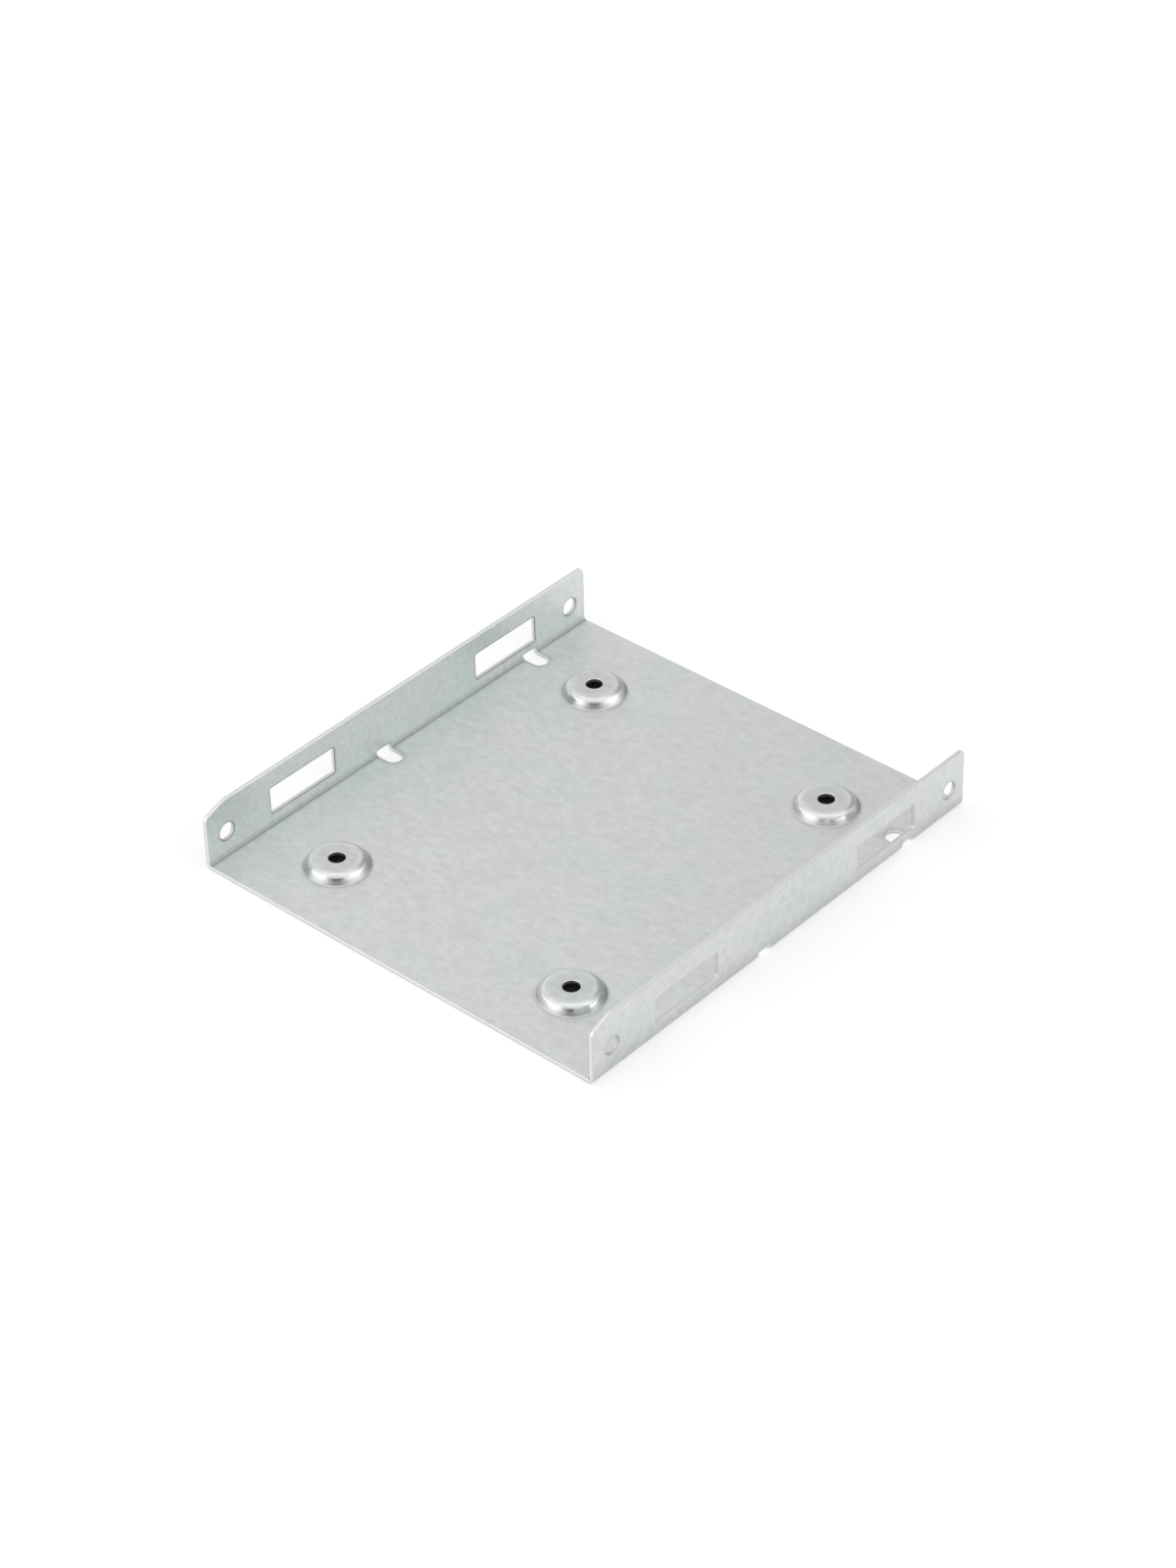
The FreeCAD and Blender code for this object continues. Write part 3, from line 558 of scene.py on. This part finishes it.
def bracket_mesh(name):
    """The whole folded sheet as one closed mesh: inside, outside, and every cut edge.

    A point is the inside surface - (sheet - depth) * normal + offset * way out. The depth is the
    whole sheet inside and 0 outside, with no offset, and both follow the section of the edge along
    a cut. The attributes are the skin's marks and its painted shade.
    """
    points, faces = whole_blank()
    u, v = points.T
    count = len(points)
    place, normal, across = sheet_top(u, v)
    open_edges, ring, way_out = cut_outline(points, faces)
    slope = way_out[:, :1] * across[ring] + way_out[:, 1:] * np.array([0.0, 1.0, 0.0])
    unit = slope / np.linalg.norm(slope, axis=1)[:, None]

    top_break = np.where(from_boss(u, v)[ring] < BOSS_HOLE_REACH, BOSS_HOLE_BREAK, EDGE_BREAK)
    offset, depth, turn = edge_rows(top_break)
    wall = place[ring] - (SHEET - depth)[..., None] * normal[ring] + offset[..., None] * slope
    wall_normal = np.sin(turn)[..., None] * unit + np.cos(turn)[..., None] * normal[ring]
    inside, outside = place.copy(), place - SHEET * normal
    inside[ring], outside[ring] = wall[0], wall[-1]
    vertices = np.concatenate([inside, outside, wall[1:-1].reshape(-1, 3)])
    normals = np.concatenate([normal, -normal, wall_normal[1:-1].reshape(-1, 3)])

    rows = len(turn)
    place_in_ring = np.zeros(count, int)
    place_in_ring[ring] = np.arange(len(ring))
    index = np.empty((rows, len(ring)), int)
    index[0], index[-1] = ring, ring + count
    index[1:-1] = 2 * count + np.arange((rows - 2) * len(ring)).reshape(rows - 2, -1)
    a, b = place_in_ring[open_edges].T
    upper_a, upper_b = index[:-1][:, a].ravel(), index[:-1][:, b].ravel()
    lower_a, lower_b = index[1:][:, a].ravel(), index[1:][:, b].ravel()
    walls = [np.stack([upper_b, upper_a, lower_a], 1), np.stack([upper_b, lower_a, lower_b], 1)]
    triangles = np.concatenate([faces, faces[:, ::-1] + count] + walls)

    mesh = bpy.data.meshes.new(name)
    mesh.from_pydata((vertices * MM).tolist(), [], triangles.tolist())
    mesh.shade_smooth()
    mesh.normals_split_custom_set_from_vertices(normals.tolist())
    for title, values in skin_marks_and_shade(u, v, normal, ring, turn).items():
        attribute = mesh.attributes.new(title, "FLOAT", "POINT")
        attribute.data.foreach_set("value", values.astype(np.float32))
    return mesh


# Materials

# Sockets of a mix node, where several have the same name: its share, the numbers and colours that
# it mixes, and its results
MIX_SHARE = 0
NUMBER_A = 2
NUMBER_B = 3
COLOUR_A = 6
COLOUR_B = 7
MIXED_NUMBER = 0
MIXED_COLOUR = 2
MIX_NUMBERS = {"data_type": "FLOAT"}
MIX_COLOURS = {"data_type": "RGBA"}
MULTIPLY_COLOURS = {"data_type": "RGBA", "blend_type": "MULTIPLY"}

# Zinc skin: widths of its patches, grain and pits in millimetres, the drawing out of the grain,
# the tints of the patches, and the cast that starts and is full at these places across, in metres
PATCH_WIDTH = 15.0
GRAIN_WIDTH = 1.3
GRAIN_STRETCH = (0.6, 1.0, 1.0)
PIT_WIDTH = 0.5
PATCH_TINTS = ((0.36, "#d9dad9"), (0.5, "#dadcda"), (0.64, "#d6dbda"))
CAST = "#fbfffe"
CAST_START = -0.04
CAST_FULL = -0.05

# How its grain and its marks change its shade, its roughness and its relief, whose height is in
# metres, and the colours of bare steel
GRAIN_LOW = 0.3
GRAIN_HIGH = 0.7
GRAIN_SHADE_LOW = 0.91
GRAIN_SHADE_HIGH = 1.05
GRAIN_ROUGHNESS_LOW = 0.42
GRAIN_ROUGHNESS_HIGH = 0.36
IRONED_ROUGHNESS = 0.2
DULL_ROUGHNESS = 0.55
# brightness left under the fullest painted shade
PAINTED_SHADE_LEVEL = 0.45
GRAIN_HEIGHT = 0.00002
GRAIN_RELIEF = 0.35
IRONED_RELIEF = 0.12
SHEARED_STEEL = "#e8e9e8"
TORN_STEEL = "#d4d4d2"

# Table, in metres: half the board's size and its height, its colour as light bounces off it and as
# the camera and the metal see it, how much of what each of these sees is the board's own white
# light, and the colour and radius of the dark dots of painted shadow under the bosses
TABLE_HALF = 4.0
TABLE_HEIGHT = -0.00002
BOARD = "#d8d8d8"
BOARD_SEEN = "#ffffff"
GLOW_TO_CAMERA = 0.6
GLOW_TO_METAL = 0.22
SHADOW_DOT = "#4a4b4a"
SHADOW_DOT_RADIUS = 0.005
WHITE = (1.0, 1.0, 1.0, 1.0)


def colour(code):
    """Linear colour of an sRGB hex value: level / 12.92 if dark, else ((level + 0.055) / 1.055) ** 2.4."""
    levels = np.array([int(code[i:i + 2], 16) for i in (1, 3, 5)]) / 255
    linear = np.where(levels <= 0.04045, levels / 12.92, ((levels + 0.055) / 1.055) ** 2.4)
    return (*linear.tolist(), 1.0)


def per_metre(millimetres):
    """Noise scale whose blotches are about this wide: 1000 over the width."""
    return 1000.0 / millimetres


def add(tree, kind, settings=None, inputs=None, stops=()):
    """Add a node, set its options, and give each input its number or the output that feeds it.

    Stops are the places and colours of a ramp, the lowest first.
    """
    node = tree.nodes.new(kind)
    for option, setting in (settings or {}).items():
        setattr(node, option, setting)
    for socket, given in (inputs or {}).items():
        if isinstance(given, bpy.types.NodeSocket):
            tree.links.new(given, node.inputs[socket])
        else:
            node.inputs[socket].default_value = given
    for place, _ in stops[1:-1]:
        node.color_ramp.elements.new(place)
    for i, (place, shade) in enumerate(stops):
        node.color_ramp.elements[i].position = place
        node.color_ramp.elements[i].color = shade
    return node


def new_material(name):
    """An empty material with its output node."""
    material = bpy.data.materials.new(name)
    material.use_nodes = True
    material.node_tree.nodes.clear()
    return material, material.node_tree, add(material.node_tree, "ShaderNodeOutputMaterial")


def galvanised_rolled_steel():
    """Cold rolled sheet steel, hot dip zinc coated: a pale satin metal with a fine mottled grain."""
    material, tree, output = new_material("galvanised_rolled_steel")
    coordinates = add(tree, "ShaderNodeTexCoord").outputs["Object"]
    drawn, shade_and_dullness, cut, torn = (add(tree, "ShaderNodeAttribute", {"attribute_name": mark}).outputs["Fac"]
                                for mark in ("drawn", "shade_and_dullness", "cut", "torn"))

    # the zinc skin freezes in soft patches some millimetres wide, greyish, greenish and bluish
    patches = add(tree, "ShaderNodeTexNoise", {}, {"Vector": coordinates, "Scale": per_metre(PATCH_WIDTH),
                                                   "Detail": 2.5})
    tint = add(tree, "ShaderNodeValToRGB", {}, {"Fac": patches.outputs["Fac"]},
               [(place, colour(code)) for place, code in PATCH_TINTS])

    # a greenish cast grows towards the left flange, and is full on it
    across = add(tree, "ShaderNodeSeparateXYZ", {}, {"Vector": coordinates}).outputs["X"]
    cast = add(tree, "ShaderNodeMapRange", {}, {
        "Value": across, "From Min": CAST_START, "From Max": CAST_FULL})
    tint = add(tree, "ShaderNodeMix", MULTIPLY_COLOURS, {
        MIX_SHARE: cast.outputs["Result"], COLOUR_A: tint.outputs["Color"], COLOUR_B: colour(CAST)})

    # a mottled grain of about a millimetre, drawn out across the tray by the rolls
    rolled = add(tree, "ShaderNodeVectorMath", {"operation": "MULTIPLY"}, {
        0: coordinates, 1: GRAIN_STRETCH}).outputs["Vector"]
    grain = add(tree, "ShaderNodeTexNoise", {}, {
        "Vector": rolled, "Scale": per_metre(GRAIN_WIDTH), "Detail": 4.0, "Roughness": 0.6}).outputs["Fac"]
    shade = add(tree, "ShaderNodeMapRange", {}, {
        "Value": grain, "From Min": GRAIN_LOW, "From Max": GRAIN_HIGH,
        "To Min": GRAIN_SHADE_LOW, "To Max": GRAIN_SHADE_HIGH})
    skin = add(tree, "ShaderNodeMix", MULTIPLY_COLOURS, {
        MIX_SHARE: 1.0, COLOUR_A: tint.outputs[MIXED_COLOUR], COLOUR_B: shade.outputs["Result"]})

    # the cut edges are bare steel: sheared bright on the inside, torn grey towards the outside
    bare = add(tree, "ShaderNodeMix", MIX_COLOURS, {
        MIX_SHARE: torn, COLOUR_A: colour(SHEARED_STEEL), COLOUR_B: colour(TORN_STEEL)})
    base = add(tree, "ShaderNodeMix", MIX_COLOURS, {
        MIX_SHARE: cut, COLOUR_A: skin.outputs[MIXED_COLOUR], COLOUR_B: bare.outputs[MIXED_COLOUR]})

    # painted shade: the skin is darkened in the bends and a little beyond them outside, round the
    # punched openings, at the feet of the bosses and on the floor round them, and a little on the flat
    # tops
    painted_shade = add(tree, "ShaderNodeMapRange", {}, {"Value": shade_and_dullness, "To Min": 1.0, "To Max": PAINTED_SHADE_LEVEL})
    base = add(tree, "ShaderNodeMix", MULTIPLY_COLOURS, {
        MIX_SHARE: 1.0, COLOUR_A: base.outputs[MIXED_COLOUR], COLOUR_B: painted_shade.outputs["Result"]})

    # drawing over the punch irons the grain, so the round sides of the bosses shine more, while the
    # crazed skin is rough
    rough = add(tree, "ShaderNodeMapRange", {}, {
        "Value": grain, "From Min": GRAIN_LOW, "From Max": GRAIN_HIGH,
        "To Min": GRAIN_ROUGHNESS_LOW, "To Max": GRAIN_ROUGHNESS_HIGH})
    ironed = add(tree, "ShaderNodeMix", MIX_NUMBERS, {
        MIX_SHARE: drawn, NUMBER_A: rough.outputs["Result"], NUMBER_B: IRONED_ROUGHNESS})
    matt = add(tree, "ShaderNodeMix", MIX_NUMBERS, {
        MIX_SHARE: shade_and_dullness, NUMBER_A: ironed.outputs[MIXED_NUMBER], NUMBER_B: DULL_ROUGHNESS})

    # the grain stands a few thousandths of a millimetre proud, and less where it is ironed; its pits
    # are drawn half a millimetre wide, coarser than real ones, so that they show
    pits = add(tree, "ShaderNodeTexNoise", {}, {"Vector": coordinates, "Scale": per_metre(PIT_WIDTH),
                                                "Detail": 3.0, "Roughness": 0.6})
    level = add(tree, "ShaderNodeMix", MIX_NUMBERS, {
        MIX_SHARE: 0.5, NUMBER_A: grain, NUMBER_B: pits.outputs["Fac"]})
    relief = add(tree, "ShaderNodeMapRange", {}, {
        "Value": drawn, "To Min": GRAIN_RELIEF, "To Max": IRONED_RELIEF})
    bump = add(tree, "ShaderNodeBump", {}, {
        "Strength": relief.outputs["Result"], "Distance": GRAIN_HEIGHT,
        "Height": level.outputs[MIXED_NUMBER]})
    shader = add(tree, "ShaderNodeBsdfPrincipled", {}, {
        "Base Color": base.outputs[MIXED_COLOUR], "Metallic": 1.0, "Roughness": matt.outputs[MIXED_NUMBER],
        "Normal": bump.outputs["Normal"]})
    tree.links.new(shader.outputs["BSDF"], output.inputs["Surface"])
    return material


def pale_table():
    """Matt white table board with a soft shadow, and a dark dot of painted shadow under each boss.

    The camera sees the board nearly full white, because more than half of what it sees is the
    board's own light, and the metal reflects it with a smaller share of that. The dots are painted
    shadow that lets the screw holes look down on black. They are drawn by the distance from one
    boss's axis, with the place taken as its absolute value from the middle of the bosses, so that
    one quarter stands for all.
    """
    material, tree, output = new_material("matt_white_board")
    path = add(tree, "ShaderNodeLightPath")
    place = add(tree, "ShaderNodeTexCoord").outputs["Object"]
    middle = (BOSSES[0] + BOSSES[1]) / 2 * MM
    quarter = add(tree, "ShaderNodeVectorMath", {"operation": "SUBTRACT"}, {
        0: place, 1: (0.0, middle, 0.0)})
    quarter = add(tree, "ShaderNodeVectorMath", {"operation": "ABSOLUTE"}, {0: quarter.outputs["Vector"]})
    axis = (BOSS_ACROSS * MM, BOSSES[1] * MM - middle, 0.0)
    away = add(tree, "ShaderNodeVectorMath", {"operation": "DISTANCE"}, {
        0: quarter.outputs["Vector"], 1: axis})
    board = add(tree, "ShaderNodeMath", {"operation": "GREATER_THAN"}, {
        0: away.outputs["Value"], 1: SHADOW_DOT_RADIUS}).outputs["Value"]

    seen = add(tree, "ShaderNodeMath", {"operation": "MAXIMUM"}, {
        0: path.outputs["Is Camera Ray"], 1: path.outputs["Is Glossy Ray"]})
    seen = add(tree, "ShaderNodeMath", {"operation": "MAXIMUM"}, {
        0: seen.outputs["Value"], 1: path.outputs["Is Transmission Ray"]})
    seen = add(tree, "ShaderNodeMath", {"operation": "MULTIPLY"}, {
        0: seen.outputs["Value"], 1: board}).outputs["Value"]
    paper = add(tree, "ShaderNodeMix", MIX_COLOURS, {
        MIX_SHARE: seen, COLOUR_A: colour(BOARD), COLOUR_B: colour(BOARD_SEEN)})
    # the dots of painted shadow under the bosses
    paper = add(tree, "ShaderNodeMix", MIX_COLOURS, {
        MIX_SHARE: board, COLOUR_A: colour(SHADOW_DOT), COLOUR_B: paper.outputs[MIXED_COLOUR]})
    shaded = add(tree, "ShaderNodeBsdfDiffuse", {}, {"Color": paper.outputs[MIXED_COLOUR]})
    glow = add(tree, "ShaderNodeEmission", {}, {"Color": WHITE, "Strength": 1.0})
    share = add(tree, "ShaderNodeMapRange", {}, {
        "Value": path.outputs["Is Camera Ray"], "To Min": GLOW_TO_METAL, "To Max": GLOW_TO_CAMERA})
    share = add(tree, "ShaderNodeMath", {"operation": "MULTIPLY"}, {0: seen, 1: share.outputs["Result"]})
    shader = add(tree, "ShaderNodeMixShader", {}, {
        0: share.outputs["Value"], 1: shaded.outputs["BSDF"], 2: glow.outputs["Emission"]})
    tree.links.new(shader.outputs["Shader"], output.inputs["Surface"])
    return material


# Light of the studio. A bearing is the level angle from the camera towards its right, and a height
# is the sine of the angle above the horizon.
TOWARDS_CAMERA = (0.6731, -0.7396, 0.0)
RIGHT_OF_CAMERA = (-TOWARDS_CAMERA[1], TOWARDS_CAMERA[0], 0.0)

# Strength of the ring of screens by bearing in degrees: brightest on both sides of the camera and
# dimmest behind the tray on the right
SCREENS = ((-180, 0.86), (-155, 1.04), (-130, 0.82), (-110, 1.2), (-92, 1.22), (-75, 1.52), (-60, 1.6),
           (-45, 1.3), (-30, 0.82), (0, 0.8), (30, 1.0), (45, 1.2), (60, 1.55), (75, 1.62), (92, 1.34),
           (110, 0.76), (130, 0.42), (155, 0.42), (180, 0.86))

# The screens' share at the horizon, the height at which they are full, and how they dim upwards
HORIZON_SHARE = 0.4
HORIZON_TOP = 0.22
SCREEN_LEVEL = 1.3
SCREEN_FALL = -0.5

# The overhead light: its strength, the heights between which it sets in on the camera's side and
# behind the tray, and how much of a direction points towards the camera where it is fully behind
OVERHEAD = 1.22
OVERHEAD_LOW = 0.63
OVERHEAD_FULL = 1.0
OVERHEAD_LOW_BEHIND = 0.67
OVERHEAD_FULL_BEHIND = 0.9
BEHIND = -0.6

# The dark gap where the camera stands: its height, and how far it is full and how far it fades,
# in height and in bearing
GAP_HEIGHT = 0.34
GAP_FULL = 0.08
GAP_FADE = 0.145
GAP_FULL_ASIDE = math.radians(10)
GAP_FADE_ASIDE = math.radians(36)

SMOOTH = {"interpolation_type": "SMOOTHSTEP"}


def studio():
    """World of a pale studio, whose light is worked out from the direction that is looked in.

    The screens' strength by bearing, times a smooth rise from the horizon, times
    1.3 - 0.5 * height, gives way to the overhead light further up. The gap is taken off both.
    """
    world = bpy.data.worlds.new("studio")
    world.use_nodes = True
    tree = world.node_tree
    tree.nodes.clear()
    direction = add(tree, "ShaderNodeTexCoord").outputs["Generated"]
    height = add(tree, "ShaderNodeSeparateXYZ", {}, {"Vector": direction}).outputs["Z"]
    right = add(tree, "ShaderNodeVectorMath", {"operation": "DOT_PRODUCT"}, {
        0: direction, 1: RIGHT_OF_CAMERA}).outputs["Value"]
    near = add(tree, "ShaderNodeVectorMath", {"operation": "DOT_PRODUCT"}, {
        0: direction, 1: TOWARDS_CAMERA}).outputs["Value"]
    bearing = add(tree, "ShaderNodeMath", {"operation": "ARCTAN2"}, {0: right, 1: near}).outputs["Value"]

    turned = add(tree, "ShaderNodeMapRange", {}, {
        "Value": bearing, "From Min": -math.pi, "From Max": math.pi})
    screens = add(tree, "ShaderNodeValToRGB", {}, {"Fac": turned.outputs["Result"]},
                  [((angle + 180) / 360, (level, level, level, 1.0)) for angle, level in SCREENS])
    rise = add(tree, "ShaderNodeMapRange", SMOOTH, {
        "Value": height, "From Min": 0.0, "From Max": HORIZON_TOP, "To Min": HORIZON_SHARE, "To Max": 1.0})
    fall = add(tree, "ShaderNodeMath", {"operation": "MULTIPLY_ADD"}, {
        0: height, 1: SCREEN_FALL, 2: SCREEN_LEVEL})
    screens = add(tree, "ShaderNodeMath", {"operation": "MULTIPLY"}, {
        0: screens.outputs["Color"], 1: rise.outputs["Result"]})
    screens = add(tree, "ShaderNodeMath", {"operation": "MULTIPLY"}, {
        0: screens.outputs["Value"], 1: fall.outputs["Value"]})

    behind = add(tree, "ShaderNodeMapRange", SMOOTH, {
        "Value": near, "From Min": BEHIND, "From Max": 0.0, "To Min": 1.0, "To Max": 0.0})
    up = add(tree, "ShaderNodeMapRange", SMOOTH, {
        "Value": height, "From Min": OVERHEAD_LOW, "From Max": OVERHEAD_FULL})
    up_behind = add(tree, "ShaderNodeMapRange", SMOOTH, {
        "Value": height, "From Min": OVERHEAD_LOW_BEHIND, "From Max": OVERHEAD_FULL_BEHIND})
    up = add(tree, "ShaderNodeMix", MIX_NUMBERS, {
        MIX_SHARE: behind.outputs["Result"], NUMBER_A: up.outputs["Result"],
        NUMBER_B: up_behind.outputs["Result"]})
    lit = add(tree, "ShaderNodeMix", MIX_NUMBERS, {
        MIX_SHARE: up.outputs[MIXED_NUMBER], NUMBER_A: screens.outputs["Value"], NUMBER_B: OVERHEAD})

    aside = add(tree, "ShaderNodeMath", {"operation": "ABSOLUTE"}, {0: bearing})
    aside = add(tree, "ShaderNodeMapRange", SMOOTH, {
        "Value": aside.outputs["Value"], "From Min": GAP_FULL_ASIDE, "From Max": GAP_FADE_ASIDE,
        "To Min": 1.0, "To Max": 0.0})
    level = add(tree, "ShaderNodeMath", {"operation": "SUBTRACT"}, {0: height, 1: GAP_HEIGHT})
    level = add(tree, "ShaderNodeMath", {"operation": "ABSOLUTE"}, {0: level.outputs["Value"]})
    level = add(tree, "ShaderNodeMapRange", SMOOTH, {
        "Value": level.outputs["Value"], "From Min": GAP_FULL, "From Max": GAP_FADE,
        "To Min": 1.0, "To Max": 0.0})
    gap = add(tree, "ShaderNodeMath", {"operation": "MULTIPLY"}, {
        0: aside.outputs["Result"], 1: level.outputs["Result"]})
    rest = add(tree, "ShaderNodeMath", {"operation": "SUBTRACT"}, {0: 1.0, 1: gap.outputs["Value"]})
    lit = add(tree, "ShaderNodeMath", {"operation": "MULTIPLY"}, {
        0: lit.outputs[MIXED_NUMBER], 1: rest.outputs["Value"]})
    sky = add(tree, "ShaderNodeBackground", {}, {"Color": WHITE, "Strength": lit.outputs["Value"]})
    add(tree, "ShaderNodeOutputWorld", {}, {"Surface": sky.outputs["Background"]})
    return world


# Object

scene = bpy.context.scene
bracket_sheet = bpy.data.objects.new("bracket_sheet", bracket_mesh("bracket_sheet"))
scene.collection.objects.link(bracket_sheet)
bracket_sheet.data.materials.append(galvanised_rolled_steel())
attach(bracket_sheet, "root")
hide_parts("bracket")

# Table, light and camera

table_mesh = bpy.data.meshes.new("table")
corners = np.array([[-1, -1], [1, -1], [1, 1], [-1, 1]]) * TABLE_HALF
table_mesh.from_pydata([(x, y, TABLE_HEIGHT) for x, y in corners.tolist()], [], [(0, 1, 2, 3)])
table = bpy.data.objects.new("table", table_mesh)
scene.collection.objects.link(table)
table.data.materials.append(pale_table())
scene.world = studio()

# Camera: the longer side of its sensor in millimetres, the height of the photo and the focal length
# in pixels of the photo, its place in metres and its turns in degrees
SENSOR_LONG_SIDE = 36.0
PHOTO_HEIGHT = 1600
FOCAL_LENGTH = 4275.977
CAMERA_PLACE = (0.444549, -0.487925, 0.507476)
CAMERA_TURN = (53.153, 1.15372, 41.43634)
lens = bpy.data.cameras.new("camera")
lens.sensor_width = SENSOR_LONG_SIDE
lens.lens = SENSOR_LONG_SIDE * FOCAL_LENGTH / PHOTO_HEIGHT
lens.clip_start = 0.01
lens.clip_end = 50.0
camera = bpy.data.objects.new("camera", lens)
camera.location = CAMERA_PLACE
camera.rotation_euler = [math.radians(angle) for angle in CAMERA_TURN]
scene.collection.objects.link(camera)
scene.camera = camera
scene.view_settings.view_transform = "Standard"
